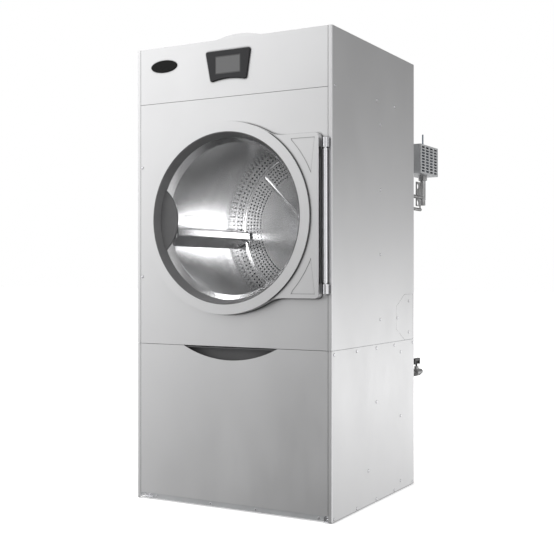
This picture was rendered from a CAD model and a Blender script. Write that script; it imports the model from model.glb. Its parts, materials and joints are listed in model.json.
import bpy
import bmesh
import json
from math import cos, degrees, pi, radians, sin
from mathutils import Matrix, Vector


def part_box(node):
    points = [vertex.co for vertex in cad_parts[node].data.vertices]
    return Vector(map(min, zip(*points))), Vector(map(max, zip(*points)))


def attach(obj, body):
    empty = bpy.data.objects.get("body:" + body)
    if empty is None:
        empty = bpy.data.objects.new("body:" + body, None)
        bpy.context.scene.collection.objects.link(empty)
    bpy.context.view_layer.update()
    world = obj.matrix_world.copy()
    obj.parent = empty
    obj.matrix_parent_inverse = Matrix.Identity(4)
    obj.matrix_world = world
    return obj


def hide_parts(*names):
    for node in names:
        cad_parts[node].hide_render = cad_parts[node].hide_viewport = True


# Looks for the tumble dryer. Everything is in metres in the frame's own axes:
# X to the right seen from the front, Y to the back, Z up from the floor.

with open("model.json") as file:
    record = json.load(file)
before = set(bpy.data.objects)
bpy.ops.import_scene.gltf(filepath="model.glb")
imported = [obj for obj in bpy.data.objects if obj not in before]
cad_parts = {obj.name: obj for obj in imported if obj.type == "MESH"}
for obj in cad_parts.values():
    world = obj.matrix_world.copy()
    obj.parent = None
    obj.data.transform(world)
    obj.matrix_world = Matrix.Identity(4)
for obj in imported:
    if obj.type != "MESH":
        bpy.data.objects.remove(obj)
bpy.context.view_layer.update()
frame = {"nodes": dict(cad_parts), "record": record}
nodes = frame["nodes"]


# ---- Places taken from the frame ---------------------------------------------------
shell_lo, shell_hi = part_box("drum_shell")
wall_lo, wall_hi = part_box("drum_rear_wall")
kick_lo, kick_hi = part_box("kick_strip")
screen_lo, screen_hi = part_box("lint_screen")
AXIS_Z = (shell_lo.z + shell_hi.z) / 2          # height of the drum's axis
DRUM_R = (shell_hi.x - shell_lo.x) / 2
MM = 0.001
CREASE = radians(32)                             # edges sharper than this stay sharp in the shading
WELD = 1e-6                                      # points closer than this are one point


# ---- Materials ---------------------------------------------------------------------
class Tree:
    """A few short ways to build a node tree."""

    def __init__(self, name):
        self.mat = bpy.data.materials.new(name)
        self.mat.use_nodes = True
        self.tree = self.mat.node_tree
        self.bsdf = self.tree.nodes["Principled BSDF"]

    def add(self, kind, **values):
        node = self.tree.nodes.new(kind)
        for key, value in values.items():
            setattr(node, key, value)
        return node

    def link(self, a, b):
        self.tree.links.new(a, b)

    def coords(self, scale):
        place = self.add("ShaderNodeTexCoord")
        mapping = self.add("ShaderNodeMapping")
        mapping.inputs["Scale"].default_value = scale
        self.link(place.outputs["Object"], mapping.inputs["Vector"])
        return mapping.outputs["Vector"]

    def noise(self, scale, stretch=(1, 1, 1), detail=3.0, rough=0.55):
        node = self.add("ShaderNodeTexNoise")
        node.inputs["Scale"].default_value = scale
        node.inputs["Detail"].default_value = detail
        node.inputs["Roughness"].default_value = rough
        self.link(self.coords(stretch), node.inputs["Vector"])
        return node.outputs["Fac"]

    def spread(self, fac, low, high, a=0.3, b=0.7):
        node = self.add("ShaderNodeMapRange")
        for key, value in (("From Min", a), ("From Max", b), ("To Min", low), ("To Max", high)):
            node.inputs[key].default_value = value
        self.link(fac, node.inputs["Value"])
        return node.outputs["Result"]

    def ramp(self, fac, stops):
        node = self.add("ShaderNodeValToRGB")
        ramp = node.color_ramp
        while len(ramp.elements) < len(stops):
            ramp.elements.new(0.5)
        for element, (at, colour) in zip(ramp.elements, stops):
            element.position = at
            element.color = (*colour, 1)
        self.link(fac, node.inputs["Fac"])
        return node.outputs["Color"]

    def bump(self, height, strength, distance):
        node = self.add("ShaderNodeBump")
        node.inputs["Strength"].default_value = strength
        node.inputs["Distance"].default_value = distance
        self.link(height, node.inputs["Height"])
        self.link(node.outputs["Normal"], self.bsdf.inputs["Normal"])

    def multiply(self, a, b):
        node = self.add("ShaderNodeMath", operation="MULTIPLY")
        self.link(a, node.inputs[0])
        self.link(b, node.inputs[1])
        return node.outputs[0]

    def sum(self, a, b):
        node = self.add("ShaderNodeMath", operation="ADD")
        self.link(a, node.inputs[0])
        self.link(b, node.inputs[1])
        return node.outputs[0]

    def set(self, **values):
        for key, value in values.items():
            self.bsdf.inputs[key.replace("_", " ")].default_value = value


def shade(colour, factor):
    return tuple(min(1.0, c * factor) for c in colour)


def sheet_metal(
    name, colour, metallic, rough, grain=(1, 1, 1), grain_scale=900.0, vary=0.04, grain_bump=0.05, grime=0.0
):
    """Coated or bare sheet: faint cloudiness, fine grain, uneven gloss, and corners that are darker
    where another surface is nearer than grime."""
    t = Tree(name)
    t.set(Metallic=metallic)
    cloud = t.noise(3.0, detail=4.0)
    colour_out = t.ramp(cloud, [(0.25, shade(colour, 1 - vary)), (0.75, shade(colour, 1 + vary))])
    if grime:
        near = t.add("ShaderNodeAmbientOcclusion", samples=8)
        near.inputs["Distance"].default_value = grime
        mix = t.add("ShaderNodeMix", data_type="RGBA", blend_type="MULTIPLY")
        mix.inputs["Factor"].default_value = 1.0
        t.link(colour_out, mix.inputs[6])
        dark = t.ramp(near.outputs["AO"], [(0.5, (0.02, 0.02, 0.02)), (0.95, (1.0, 1.0, 1.0))])
        t.link(dark, mix.inputs[7])
        colour_out = mix.outputs[2]
    t.link(colour_out, t.bsdf.inputs["Base Color"])
    fine = t.noise(grain_scale, grain, detail=2.0)
    smear = t.noise(7.0, (1, 1, 0.4), detail=5.0, rough=0.65)
    both = t.sum(t.spread(fine, -0.02, 0.02), t.spread(smear, rough - 0.03, rough + 0.04))
    t.link(both, t.bsdf.inputs["Roughness"])
    t.bump(fine, grain_bump, 0.0002)
    return t.mat


def moulded(name, colour, rough, texture=1400.0, bump=0.12, vary=0.12, shine=0.5):
    """Fine-textured plastic, rubber or paint."""
    t = Tree(name)
    t.set(Metallic=0.0, Specular_IOR_Level=shine)
    cloud = t.noise(9.0, detail=4.0)
    colour_out = t.ramp(cloud, [(0.3, shade(colour, 1 - vary)), (0.7, shade(colour, 1 + vary))])
    t.link(colour_out, t.bsdf.inputs["Base Color"])
    grain = t.noise(texture, detail=2.0)
    t.link(t.spread(grain, rough - 0.05, rough + 0.06), t.bsdf.inputs["Roughness"])
    t.bump(grain, bump, 0.0003)
    return t.mat


def cabinet_steel():
    colour = (0.66, 0.66, 0.665)
    return sheet_metal("silver_coated_sheet", colour, 0.82, 0.33, grain_bump=0.03, vary=0.02, grime=0.009)


def drum_steel():
    """Polished stainless with faint marks running round the drum."""
    t = Tree("polished_drum_steel")
    t.set(Metallic=1.0)
    cloud = t.noise(5.0, (1, 3, 1), detail=5.0)
    colour = t.ramp(cloud, [(0.3, (0.60, 0.60, 0.605)), (0.75, (0.72, 0.72, 0.725))])
    t.link(colour, t.bsdf.inputs["Base Color"])
    rubbed = t.noise(40.0, (1, 12, 1), detail=2.0)
    smear = t.noise(4.0, detail=4.0)
    t.link(t.sum(t.spread(rubbed, 0.0, 0.03), t.spread(smear, 0.17, 0.23)), t.bsdf.inputs["Roughness"])
    t.bump(rubbed, 0.01, 0.0001)
    return t.mat


def cast_metal(name, colour, metallic, rough):
    """Painted casting: blotchy colour over fine pits."""
    t = Tree(name)
    t.set(Metallic=metallic)
    cloud = t.noise(30.0, detail=5.0)
    painted = t.ramp(cloud, [(0.3, shade(colour, 0.75)), (0.7, shade(colour, 1.2))])
    t.link(painted, t.bsdf.inputs["Base Color"])
    pits = t.noise(420.0, detail=4.0, rough=0.7)
    t.link(t.spread(pits, rough - 0.08, rough + 0.10), t.bsdf.inputs["Roughness"])
    t.bump(pits, 0.35, 0.0006)
    return t.mat


def pipe_metal():
    """Weathered steel pipe and valve: dull grey with darker stains."""
    t = Tree("weathered_pipe")
    t.set(Metallic=0.85)
    stain = t.noise(55.0, (1, 1, 0.5), detail=6.0, rough=0.7)
    t.link(
        t.ramp(stain, [(0.32, (0.16, 0.15, 0.145)), (0.5, (0.33, 0.33, 0.33)), (0.72, (0.50, 0.50, 0.51))]),
        t.bsdf.inputs["Base Color"],
    )
    t.link(t.spread(stain, 0.52, 0.3), t.bsdf.inputs["Roughness"])
    t.bump(t.noise(500.0, detail=3.0), 0.2, 0.0004)
    return t.mat


def glass_pane():
    """Clear toughened glass, seen as a thin pane."""
    t = Tree("toughened_glass")
    t.set(Metallic=0.0, Alpha=0.08, IOR=1.5)
    smudge = t.noise(11.0, detail=5.0)
    tint = t.ramp(smudge, [(0.35, (0.045, 0.05, 0.05)), (0.7, (0.075, 0.08, 0.08))])
    t.link(tint, t.bsdf.inputs["Base Color"])
    t.link(t.spread(smudge, 0.02, 0.05), t.bsdf.inputs["Roughness"])
    return t.mat


def screen_glass():
    """Unlit touch panel: mid grey under a hard cover, with a faint darker border."""
    lo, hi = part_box("display_screen")
    t = Tree("unlit_touch_panel")
    t.set(Metallic=0.0, IOR=1.5)
    place = t.add("ShaderNodeTexCoord")
    split = t.add("ShaderNodeSeparateXYZ")
    t.link(place.outputs["Object"], split.inputs["Vector"])
    edges = None
    for axis, low, high in (("X", lo.x, hi.x), ("Z", lo.z, hi.z)):
        middle = t.add("ShaderNodeMath", operation="SUBTRACT")
        middle.inputs[1].default_value = (low + high) / 2
        t.link(split.outputs[axis], middle.inputs[0])
        away = t.add("ShaderNodeMath", operation="ABSOLUTE")
        t.link(middle.outputs[0], away.inputs[0])
        half = (high - low) / 2
        inside = t.spread(away.outputs[0], 1.0, 0.0, half - 4.2 * MM, half - 3.4 * MM)
        edges = inside if edges is None else t.multiply(edges, inside)
    grey = t.ramp(edges, [(0.1, (0.07, 0.07, 0.071)), (0.9, (0.125, 0.125, 0.127))])
    t.link(grey, t.bsdf.inputs["Base Color"])
    t.link(t.spread(t.noise(30.0, detail=4.0), 0.16, 0.24), t.bsdf.inputs["Roughness"])
    return t.mat


def felt():
    """Soft wool felt with a faint sheen."""
    t = Tree("wool_felt")
    t.set(Metallic=0.0, Sheen_Weight=0.3)
    fibre = t.noise(700.0, detail=5.0, rough=0.7)
    t.link(t.ramp(fibre, [(0.3, (0.40, 0.38, 0.34)), (0.7, (0.60, 0.58, 0.53))]), t.bsdf.inputs["Base Color"])
    t.link(t.spread(fibre, 0.85, 0.97), t.bsdf.inputs["Roughness"])
    t.bump(fibre, 0.6, 0.0008)
    return t.mat


def wire_mesh():
    return sheet_metal("woven_wire", (0.55, 0.55, 0.56), 1.0, 0.36, grain_scale=500.0, vary=0.06)


finishes = {
    "cabinet_steel": cabinet_steel(),
    "galvanised": sheet_metal("galvanised_sheet", (0.60, 0.61, 0.62), 0.9, 0.42, grain_scale=60.0, vary=0.10),
    "stainless": drum_steel(),
    "zinc": sheet_metal("bright_zinc", (0.70, 0.70, 0.72), 1.0, 0.24, grain_scale=300.0, vary=0.06),
    "charcoal_plastic": moulded("charcoal_plastic", (0.026, 0.026, 0.028), 0.45, shine=0.25),
    "liner": moulded("liner_plastic", (0.11, 0.11, 0.112), 0.5, shine=0.35),
    "screen": screen_glass(),
    "badge": moulded("black_enamel", (0.006, 0.006, 0.006), 0.3, texture=200.0, bump=0.02, shine=0.12),
    "glass": glass_pane(),
    "seal": moulded("foam_rubber", (0.03, 0.03, 0.03), 0.8, texture=900.0, bump=0.3),
    "felt": felt(),
    "belt": moulded("belt_rubber", (0.02, 0.02, 0.02), 0.62, texture=700.0, bump=0.25),
    "cast": cast_metal("painted_casting", (0.12, 0.13, 0.14), 0.2, 0.55),
    "steel": sheet_metal(
        "machined_steel", (0.46, 0.46, 0.47), 1.0, 0.3, grain=(1, 14, 1), grain_scale=400.0, vary=0.06
    ),
    "motor_paint": cast_metal("motor_enamel", (0.10, 0.13, 0.17), 0.1, 0.45),
    "coil": sheet_metal("finned_aluminium", (0.70, 0.71, 0.72), 1.0, 0.34, grain_scale=300.0, vary=0.07),
    "pipe": pipe_metal(),
    "black_plastic": moulded("black_plastic", (0.02, 0.02, 0.02), 0.4),
}
slot_of = {row["node"]: row["material_slot"] for row in frame["record"]["subparts"]}


def dress(obj, slot):
    """Gives every material slot of an object the finish of that record slot."""
    if not obj.material_slots:
        obj.data.materials.append(finishes[slot])
    for place in obj.material_slots:
        place.material = finishes[slot]


for node, obj in nodes.items():
    dress(obj, "liner" if node in ("door_tunnel", "drawer_grip") else slot_of[node])


# ---- Mesh helpers --------------------------------------------------------------------
def piece(name, verts, faces, body, slot):
    """Makes an object from verts and faces, with its finish, riding on a body."""
    mesh = bpy.data.meshes.new(name)
    mesh.from_pydata([tuple(v) for v in verts], [], faces)
    bm = bmesh.new()
    bm.from_mesh(mesh)
    bmesh.ops.remove_doubles(bm, verts=bm.verts, dist=WELD)
    bmesh.ops.recalc_face_normals(bm, faces=bm.faces)
    bm.to_mesh(mesh)
    bm.free()
    mesh.shade_smooth()
    obj = bpy.data.objects.new(name, mesh)
    bpy.context.scene.collection.objects.link(obj)
    mesh.set_sharp_from_angle(angle=CREASE)
    dress(obj, slot)
    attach(obj, body)
    return obj


def joined(parts):
    """One (verts, faces) from several."""
    verts, faces = [], []
    for more_verts, more_faces in parts:
        base = len(verts)
        verts += more_verts
        faces += [tuple(base + i for i in face) for face in more_faces]
    return verts, faces


def spun(profile, segments=160):
    """A closed outline of (radius, y) turned about the drum's axis."""
    verts, faces = [], []
    count = len(profile)
    for s in range(segments):
        a = 2 * pi * s / segments
        verts += [(r * cos(a), y, AXIS_Z + r * sin(a)) for r, y in profile]
    for s in range(segments):
        t = (s + 1) % segments
        for k in range(count):
            m = (k + 1) % count
            faces.append((s * count + k, s * count + m, t * count + m, t * count + k))
    return verts, faces


def bar(start, end, width, height, up, chamfer=0.25):
    """A straight bar with chamfered edges between two points."""
    start, end, up = Vector(start), Vector(end), Vector(up).normalized()
    along = (end - start).normalized()
    side = along.cross(up).normalized()
    c = min(width, height) * chamfer
    w, h = width / 2, height / 2
    outline = [(-w + c, -h), (w - c, -h), (w, -h + c), (w, h - c)]
    outline += [(w - c, h), (-w + c, h), (-w, h - c), (-w, -h + c)]
    verts = [tuple(p + side * x + up * z) for p in (start, end) for x, z in outline]
    n = len(outline)
    faces = [tuple(range(n))[::-1], tuple(range(n, 2 * n))]
    faces += [(k, (k + 1) % n, n + (k + 1) % n, n + k) for k in range(n)]
    return verts, faces


def perforated(us, vs, point, hole):
    """A two-sided sheet over the grid us x vs, closed round in u. point(u, v, side) places it, and
    hole(i, j) gives the half-widths of the hole in that cell, in u and in v, or None."""
    verts, faces = [], []
    rows = len(vs)
    lines = len(us)
    for side in (0, 1):
        for u in us:
            for v in vs:
                verts.append(point(u, v, side))

    def at(i, j, side):
        return side * lines * rows + (i % lines) * rows + j

    for i in range(lines):
        u0 = us[i]
        u1 = us[i + 1] if i + 1 < lines else us[0] + 2 * pi
        for j in range(rows - 1):
            size = hole(i, j)
            if size is None:
                for side in (0, 1):
                    lower = (at(i, j, side), at(i + 1, j, side))
                    faces.append((*lower, at(i + 1, j + 1, side), at(i, j + 1, side)))
                continue
            um, vm = (u0 + u1) / 2, (vs[j] + vs[j + 1]) / 2
            rings = []
            for side in (0, 1):
                base = len(verts)
                for k in range(8):
                    a = k * pi / 4
                    verts.append(point(um + size[0] * cos(a), vm + size[1] * sin(a), side))
                rings.append(base)
                corners = [at(i + 1, j + 1, side), at(i, j + 1, side), at(i, j, side), at(i + 1, j, side)]
                for q in range(4):
                    c = corners[q]
                    p = [base + (2 * q + m) % 8 for m in range(3)]
                    faces += [(c, p[0], p[1]), (c, p[1], p[2]), (corners[(q + 1) % 4], c, p[2])]
            for k in range(8):
                m = (k + 1) % 8
                faces.append((rings[0] + k, rings[0] + m, rings[1] + m, rings[1] + k))
    for i in range(lines):
        for j in (0, rows - 1):
            faces.append((at(i, j, 0), at(i + 1, j, 0), at(i + 1, j, 1), at(i, j, 1)))
    return verts, faces


# ---- Drum -----------------------------------------------------------------------------
LIFTER_ANGLE = radians(188)
STRIPS = 360
sheet = 1.5 * MM
VENT_FROM, VENT_TO = -14.0, -9.0       # the vents near each lifter, in degrees past it
LIFTER_HALF = 7.0                      # half a lifter's width, in degrees
vent_hole = (2.0 * MM / DRUM_R, 4.3 * MM)
rear_hole = (2.9 * MM / DRUM_R, 3.3 * MM)
wall_y0, wall_y1 = wall_lo.y + 4 * MM, wall_hi.y      # the flat of the rear wall, without its bead
front_y = shell_lo.y + 10 * MM                         # the drum's front flange
mouth_r = DRUM_R - 55 * MM


def shell_point(u, v, side):
    r = DRUM_R - sheet if side == 0 else DRUM_R
    return (r * cos(u), v, AXIS_Z + r * sin(u))


vent_y0 = front_y + 157 * MM
vent_rows, vent_pitch = 12, 11.75 * MM
rear_rows, rear_pitch = 4, 13.5 * MM
rear_y0 = wall_y0 - 3 * MM - rear_rows * rear_pitch
shell_vs = [front_y, front_y + sheet]
shell_vs += [vent_y0 + vent_pitch * k for k in range(vent_rows + 1)]
shell_vs += [rear_y0 + rear_pitch * k for k in range(rear_rows + 1)]
shell_vs += [wall_y0, wall_y1]
first_vent = 2
first_rear = first_vent + vent_rows + 1


def near_lifter(angle, low, high):
    """True if the angle is between low and high degrees past a lifter."""
    past = degrees(angle - LIFTER_ANGLE) % 120
    past = past - 120 if past > 60 else past
    return low <= past <= high


def shell_hole(i, j):
    angle = 2 * pi * (i + 0.5) / STRIPS
    if first_vent <= j < first_vent + vent_rows and near_lifter(angle, VENT_FROM, VENT_TO):
        return vent_hole
    in_rear_rows = first_rear <= j < first_rear + rear_rows and i % 2 == 0
    if in_rear_rows and not near_lifter(angle, -LIFTER_HALF, LIFTER_HALF):
        return rear_hole
    return None


shell_us = [2 * pi * i / STRIPS for i in range(STRIPS)]
shell = perforated(shell_us, shell_vs, shell_point, shell_hole)
flange = spun(
    [
        (DRUM_R, front_y),
        (DRUM_R, front_y + sheet),
        (mouth_r + 6 * MM, front_y + sheet),
        (mouth_r + sheet, front_y - 3 * MM),
        (mouth_r + sheet, shell_lo.y + MM),
        (mouth_r + 3 * MM, shell_lo.y),
        (mouth_r, shell_lo.y),
        (mouth_r, front_y - 3.5 * MM),
        (mouth_r + 5 * MM, front_y),
    ],
    STRIPS,
)
drum = piece("drum_perforated_shell", *joined([shell, flange]), "drum", "stainless")
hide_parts("drum_shell")

WALL_STRIPS = 120
inner_rings, inner_r0, inner_r1 = 5, 216 * MM, 291 * MM
outer_rings, outer_r0, outer_r1 = 2, 308.5 * MM, 340 * MM
bead_r, bead_h = DRUM_R - 45 * MM, 4 * MM
hub_r = 40 * MM
wall_hole_r = 3.7 * MM
rib_clear = 12 * MM                    # no holes nearer than this to a rib's middle
wall_vs = [hub_r, 120 * MM, 190 * MM]
wall_vs += [inner_r0 + (inner_r1 - inner_r0) * k / inner_rings for k in range(inner_rings + 1)]
wall_vs += [bead_r + d * MM for d in (-5, -4, -2.6, -1, 1, 2.6, 4, 5)]
wall_vs += [outer_r0 + (outer_r1 - outer_r0) * k / outer_rings for k in range(outer_rings + 1)]
wall_vs += [DRUM_R - sheet]
first_inner = 3
first_outer = first_inner + inner_rings + 1 + 8
RIB_ANGLES = [radians(135 + 120 * k) for k in range(3)]


def wall_point(u, v, side):
    away = abs(v - bead_r) / (5 * MM)
    lift = bead_h * (0.5 + 0.5 * cos(pi * away)) if away < 1 else 0.0
    y = (wall_y0 if side == 0 else wall_y1) - lift
    return (v * cos(u), y, AXIS_Z + v * sin(u))


def wall_hole(i, j):
    inner = first_inner <= j < first_inner + inner_rings
    outer = first_outer <= j < first_outer + outer_rings
    if not inner and not outer:
        return None
    angle = 2 * pi * (i + 0.5) / WALL_STRIPS
    r = (wall_vs[j] + wall_vs[j + 1]) / 2
    for rib in RIB_ANGLES:
        if inner and abs(r * sin(angle - rib)) < rib_clear and cos(angle - rib) > 0:
            return None
    return (wall_hole_r / r, wall_hole_r)


wall_us = [2 * pi * i / WALL_STRIPS for i in range(WALL_STRIPS)]
wall = perforated(wall_us, wall_vs, wall_point, wall_hole)
hub = spun([(hub_r, wall_y0), (hub_r, wall_y1), (8 * MM, wall_y1), (8 * MM, wall_y0)], WALL_STRIPS)
cap_y = wall_y0 - 1.5 * MM
hub_cap = spun([(0.0, cap_y), (20 * MM, cap_y), (22 * MM, wall_y0), (0.0, wall_y0)], 48)
rear = piece("drum_perforated_wall", *joined([wall, hub, hub_cap]), "drum", "stainless")
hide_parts("drum_rear_wall")


def pressed_rib(angle, r0, r1):
    """A raised rib on the rear wall, rounded across and run out at both ends."""
    verts, faces = [], []
    steps, around = 26, 9
    half_w, high = 7 * MM, 5 * MM
    along = (cos(angle), sin(angle))
    across = (-sin(angle), cos(angle))
    for s in range(steps + 1):
        f = s / steps
        r = r0 + (r1 - r0) * f
        end = min(1.0, f / 0.08, (1 - f) / 0.08)
        size = (end * (2 - end)) ** 0.5
        for k in range(around):
            a = pi * k / (around - 1)
            w = -cos(a) * half_w * (0.35 + 0.65 * size)
            h = sin(a) * high * size + 0.2 * MM
            x = along[0] * r + across[0] * w
            z = along[1] * r + across[1] * w
            verts.append((x, wall_y0 + 0.4 * MM - h, AXIS_Z + z))
    for s in range(steps):
        for k in range(around - 1):
            a = s * around + k
            faces.append((a, a + 1, a + around + 1, a + around))
        faces.append((s * around, (s + 1) * around, (s + 2) * around - 1, (s + 1) * around - 1))
    faces.append(tuple(range(around)))
    faces.append(tuple(steps * around + k for k in range(around))[::-1])
    return verts, faces


piece("drum_wall_ribs", *joined([pressed_rib(a, 48 * MM, 291 * MM) for a in RIB_ANGLES]), "drum", "stainless")


# ---- Lint screen ------------------------------------------------------------------------
def framed_mesh():
    """Flat frame with a woven wire mesh stretched in it."""
    x0, x1, y0, y1 = screen_lo.x, screen_hi.x, screen_lo.y, screen_hi.y
    z0, z1 = screen_lo.z, screen_hi.z
    edge = 16 * MM
    zc, h = (z0 + z1) / 2, z1 - z0
    rails = [
        bar((x0, y0 + edge / 2, zc), (x1, y0 + edge / 2, zc), edge, h, (0, 0, 1), 0.12),
        bar((x0, y1 - edge / 2, zc), (x1, y1 - edge / 2, zc), edge, h, (0, 0, 1), 0.12),
        bar((x0 + edge / 2, y0 + edge, zc), (x0 + edge / 2, y1 - edge, zc), edge, h, (0, 0, 1), 0.12),
        bar((x1 - edge / 2, y0 + edge, zc), (x1 - edge / 2, y1 - edge, zc), edge, h, (0, 0, 1), 0.12),
        bar((0, y0 + edge, zc), (0, y1 - edge, zc), 8 * MM, h * 0.8, (0, 0, 1), 0.12),
    ]
    wires = []
    pitch, thick = 5 * MM, 0.7 * MM
    z = z0 + 1.2 * MM
    for k in range(int((x1 - x0 - 2 * edge) / pitch)):
        x = x0 + edge + pitch * (k + 0.5)
        wires.append(bar((x, y0 + edge, z), (x, y1 - edge, z), thick, thick, (0, 0, 1)))
    for k in range(int((y1 - y0 - 2 * edge) / pitch)):
        y = y0 + edge + pitch * (k + 0.5)
        wires.append(bar((x0 + edge, y, z + thick), (x1 - edge, y, z + thick), thick, thick, (0, 0, 1)))
    return joined(rails + wires)


lint = piece("lint_screen_mesh", *framed_mesh(), "drawer", slot_of["lint_screen"])
lint.data.materials[0] = wire_mesh()
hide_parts("lint_screen")


# ---- Floor brackets at the front corners ---------------------------------------------------
def floor_bracket(x0, x1, z0, z1):
    """Small bent tab with one bolt, in front of the kick strip."""
    y = kick_lo.y
    zc = (z0 + z1) / 2
    plate = bar((x0, y - 1.25 * MM, zc), (x1, y - 1.25 * MM, zc), 2.5 * MM, z1 - z0, (0, 0, 1), 0.2)
    foot = bar((x0, y - 4.2 * MM, z0 + MM), (x1, y - 4.2 * MM, z0 + MM), 6 * MM, 2 * MM, (0, 0, 1), 0.2)
    xc = (x0 + x1) / 2
    verts, faces = [], []
    for r, dy in ((4.6 * MM, 0.0), (4.6 * MM, -2.6 * MM), (3.6 * MM, -3.4 * MM)):
        verts += [(xc + r * cos(k * pi / 3), y - 2.4 * MM + dy, zc + r * sin(k * pi / 3)) for k in range(6)]
    for ring in (0, 1):
        for k in range(6):
            m = (k + 1) % 6
            faces.append((ring * 6 + k, ring * 6 + m, ring * 6 + 6 + m, ring * 6 + 6 + k))
    faces += [tuple(range(6))[::-1], tuple(range(12, 18))]
    return joined([plate, foot, (verts, faces)])


piece("floor_bracket_left", *floor_bracket(-0.367, -0.335, 0.008, 0.023), "cabinet", "zinc")
piece("floor_bracket_right", *floor_bracket(0.367, 0.397, 0.001, 0.018), "cabinet", "zinc")


# ---- Floor, light and camera -------------------------------------------------------------
def stage_floor():
    """Pale ground just under the feet, which only the camera sees."""
    mesh = bpy.data.meshes.new("floor")
    s = 40.0
    mesh.from_pydata([(-s, -s, 0), (s, -s, 0), (s, s, 0), (-s, s, 0)], [], [(0, 1, 2, 3)])
    obj = bpy.data.objects.new("floor", mesh)
    obj.location.z = -0.0008
    bpy.context.scene.collection.objects.link(obj)
    t = Tree("pale_floor")
    t.set(Metallic=0.0, Roughness=0.9, Emission_Color=(1, 1, 1, 1), Emission_Strength=0.42)
    t.bsdf.inputs["Specular IOR Level"].default_value = 0.0
    pale = t.ramp(t.noise(0.8), [(0.3, (0.80, 0.80, 0.80)), (0.7, (0.82, 0.82, 0.82))])
    t.link(pale, t.bsdf.inputs["Base Color"])
    mesh.materials.append(t.mat)
    obj.visible_glossy = False
    obj.visible_diffuse = False


stage_floor()


def studio_world():
    """Soft room: what the front reflects is bright high on the left and dimmer low on the right,
    what the sides and back reflect is brightest a little below the horizon."""
    world = bpy.data.worlds.new("studio")
    bpy.context.scene.world = world
    world.use_nodes = True
    tree = world.node_tree
    tree.nodes.clear()

    def add(kind, **values):
        node = tree.nodes.new(kind)
        for key, value in values.items():
            setattr(node, key, value)
        return node

    def math(operation, a, b, c=None, clamp=False):
        node = add("ShaderNodeMath", operation=operation, use_clamp=clamp)
        for place, value in enumerate((a, b, c)):
            if value is None:
                continue
            if isinstance(value, (int, float)):
                node.inputs[place].default_value = value
            else:
                tree.links.new(value, node.inputs[place])
        return node.outputs[0]

    RAMP_TOP = 4.0   # brightest level a ramp can hold

    def ramp(value, low, high, stops):
        fac = math("DIVIDE", math("SUBTRACT", value, low), high - low, clamp=True)
        node = add("ShaderNodeValToRGB")
        elements = node.color_ramp.elements
        while len(elements) < len(stops):
            elements.new(0.5)
        for element, (at, level) in zip(elements, stops):
            element.position = (at - low) / (high - low)
            element.color = (level / RAMP_TOP, level / RAMP_TOP, level / RAMP_TOP, 1)
        node.color_ramp.interpolation = "EASE"
        tree.links.new(fac, node.inputs["Fac"])
        return math("MULTIPLY", node.outputs["Color"], RAMP_TOP)

    place = add("ShaderNodeTexCoord")
    split = add("ShaderNodeSeparateXYZ")
    tree.links.new(place.outputs["Generated"], split.inputs["Vector"])
    x, y, z = split.outputs["X"], split.outputs["Y"], split.outputs["Z"]
    front = math("MULTIPLY_ADD", z, 2.7, math("MULTIPLY_ADD", x, -3.9, -1.25))
    other_side = math("MAXIMUM", math("MULTIPLY_ADD", x, 1.2, 0.45), 0.1)
    front = math("MINIMUM", math("MAXIMUM", front, other_side), 2.3)
    side = ramp(
        z,
        -0.6,
        0.6,
        [
            (-0.5, 0.35),
            (-0.24, 0.7),
            (-0.10, 1.75),
            (-0.03, 1.15),
            (0.05, 0.56),
            (0.14, 0.34),
            (0.25, 0.27),
            (0.55, 0.45),
        ],
    )
    behind = math("DIVIDE", math("ADD", y, 0.3), 0.6, clamp=True)
    mix = math("ADD", math("MULTIPLY", side, behind), math("MULTIPLY", front, math("SUBTRACT", 1.0, behind)))
    above = math("DIVIDE", math("SUBTRACT", z, 0.55), 0.35, clamp=True)
    level = math("ADD", mix, math("MULTIPLY", above, 0.15))
    rays = add("ShaderNodeLightPath")
    seen = add("ShaderNodeMix", data_type="FLOAT")
    tree.links.new(rays.outputs["Is Camera Ray"], seen.inputs["Factor"])
    tree.links.new(level, seen.inputs["A"])
    seen.inputs["B"].default_value = 1.0
    background = add("ShaderNodeBackground")
    tree.links.new(seen.outputs["Result"], background.inputs["Strength"])
    background.inputs["Color"].default_value = (1, 1, 1, 1)
    output = add("ShaderNodeOutputWorld")
    tree.links.new(background.outputs["Background"], output.inputs["Surface"])


studio_world()


def area_light(name, at, aim, size, power, spread=180):
    """Rectangular lamp at a point, turned to another, that the camera doesn't see."""
    data = bpy.data.lights.new(name, "AREA")
    data.shape = "RECTANGLE"
    data.size, data.size_y = size
    data.energy = power
    data.spread = radians(spread)
    lamp = bpy.data.objects.new(name, data)
    lamp.location = at
    lamp.rotation_euler = (Vector(aim) - Vector(at)).to_track_quat("-Z", "Y").to_euler()
    lamp.visible_camera = False
    bpy.context.scene.collection.objects.link(lamp)
    return lamp


area_light("overhead", (0.2, -0.4, 4.6), (0, 0, 0), (4.5, 4.5), 60)
area_light("drum_mouth", (0.10, -0.33, 1.12), (-0.34, 0.02, 1.05), (0.24, 0.24), 0.75, spread=110)
area_light("drum_back", (0.14, -0.08, 1.14), (-0.34, -0.02, 1.12), (0.14, 0.16), 0.55, spread=100)

camera_data = bpy.data.cameras.new("camera")
camera_data.sensor_width = 36.0
camera_data.lens = 64.225
camera_data.shift_y = -0.0057
camera = bpy.data.objects.new("camera", camera_data)
camera.location = (1.8426, -3.4111, 0.8265)
camera.rotation_euler = (radians(90), 0, radians(29.402))
bpy.context.scene.collection.objects.link(camera)
bpy.context.scene.camera = camera
bpy.context.scene.view_settings.view_transform = "Standard"
